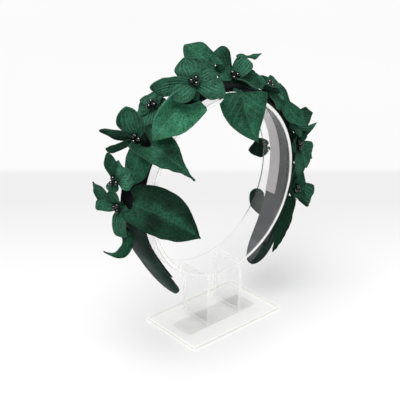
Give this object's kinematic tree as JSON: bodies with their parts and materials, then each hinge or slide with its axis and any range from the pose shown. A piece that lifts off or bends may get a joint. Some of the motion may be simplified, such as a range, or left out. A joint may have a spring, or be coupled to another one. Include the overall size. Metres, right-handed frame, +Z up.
{
  "type": "leather flower diadem on clear acrylic display stand",
  "caption": "Padded headband covered in moulded leather leaves and five-petalled flowers with bead centres, on a clear ring stand with two legs and a flat base.",
  "frame": {"origin": "centre of the underside of the stand's base plate", "axes": "+Z up, -Y the front of the diadem, +X from the band's left tip to its right tip"},
  "size_m": [0.1895, 0.0752, 0.2069],
  "materials": {
    "green_leather": "suede-like bottle green leather with embossed veins and lighter cut edges",
    "band_leather": "smooth dark slate-green leather over padding",
    "lining": "plain dark grey felt lining",
    "ribbon": "bare pale mauve-grey satin ribbon",
    "black_bead": "polished black beads",
    "acrylic": "clear acrylic sheet with polished edges",
    "pad": "frosted soft pad"
  },
  "bodies": {
    "root": {"stand_base": "acrylic", "stand_pad": "pad", "stand_loop": "acrylic", "band": "band_leather", "band_lining": "lining", "band_ribbon": "ribbon", "leaf_low_front": "green_leather", "leaf_mid_front": "green_leather", "leaf_heart": "green_leather", "leaf_front_right": "green_leather", "leaf_top": "green_leather", "leaf_top_back": "green_leather", "leaf_right_upper": "green_leather", "leaf_right_thin": "green_leather", "leaf_right_low": "green_leather", "leaf_back_right": "green_leather", "leaf_back_low": "green_leather", "leaf_low_left": "green_leather", "leaf_band_left": "green_leather", "leaf_right_mid": "green_leather", "leaf_rear_upper": "green_leather", "leaf_rear_middle": "green_leather", "leaf_rear_side": "green_leather", "leaf_rear_low": "green_leather", "flower_main": "green_leather", "flower_crown": "green_leather", "flower_left": "green_leather", "flower_low_left": "green_leather", "flower_upper_left": "green_leather", "flower_side_left": "green_leather", "flower_upper_right": "green_leather", "flower_right": "green_leather", "flower_low_right": "green_leather", "flower_side_right": "green_leather", "beads_main": "black_bead", "beads_crown": "black_bead", "beads_left": "black_bead", "beads_low_left": "black_bead", "beads_upper_left": "black_bead", "beads_side_left": "black_bead", "beads_upper_right": "black_bead", "beads_right": "black_bead", "beads_low_right": "black_bead", "beads_side_right": "black_bead"}
  },
  "joints": []
}
